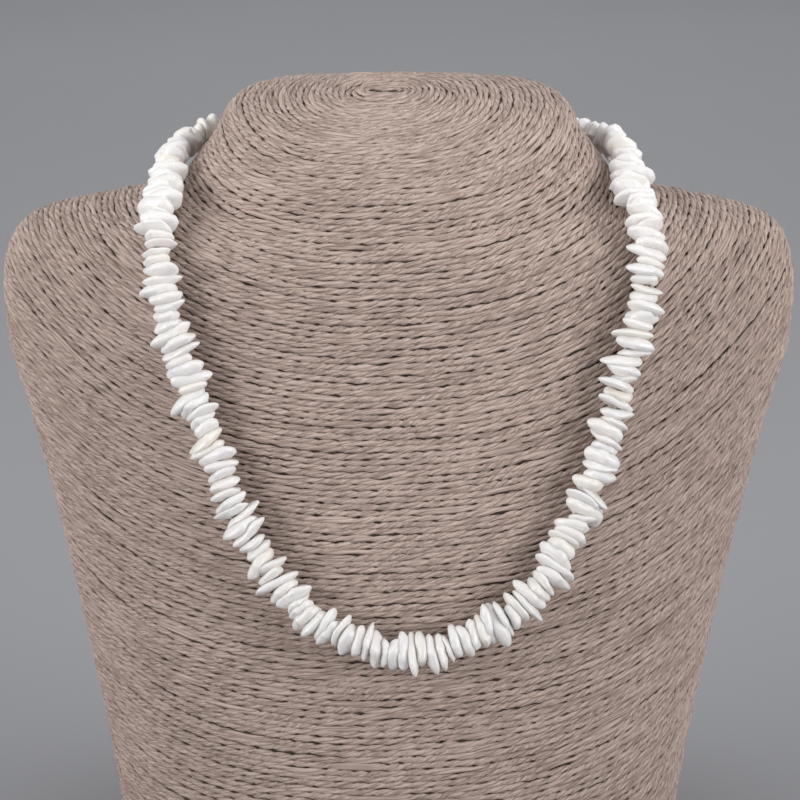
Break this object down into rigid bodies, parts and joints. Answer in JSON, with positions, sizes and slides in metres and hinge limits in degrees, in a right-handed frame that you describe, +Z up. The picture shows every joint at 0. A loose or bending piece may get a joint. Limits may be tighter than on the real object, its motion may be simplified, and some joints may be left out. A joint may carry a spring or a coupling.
{
  "type": "mother of pearl flake necklace on a twine-wound neck bust",
  "caption": "Single-strand necklace of drilled mother of pearl shell flakes strung side by side, draped on a small twine-wound neck bust.",
  "frame": {"origin": "on the surface that the bust stands on, under the centre of the whole part's box", "axes": "+Z up, the bust's chest and the hanging strand towards -Y, +X to the right as seen from the front"},
  "size_m": [0.1968, 0.1154, 0.1975],
  "materials": {
    "twine": "two-ply paper or jute twine, taupe, matte",
    "shell": "polished mother of pearl, white with a cream depth and a soft pearly gloss",
    "thread": "waxed off-white thread",
    "clasp_metal": "silver-coloured, satin"
  },
  "bodies": {
    "root": {"neck_bust": "twine", "shell_flakes": "shell", "thread": "thread", "clasp": "clasp_metal"}
  },
  "joints": []
}
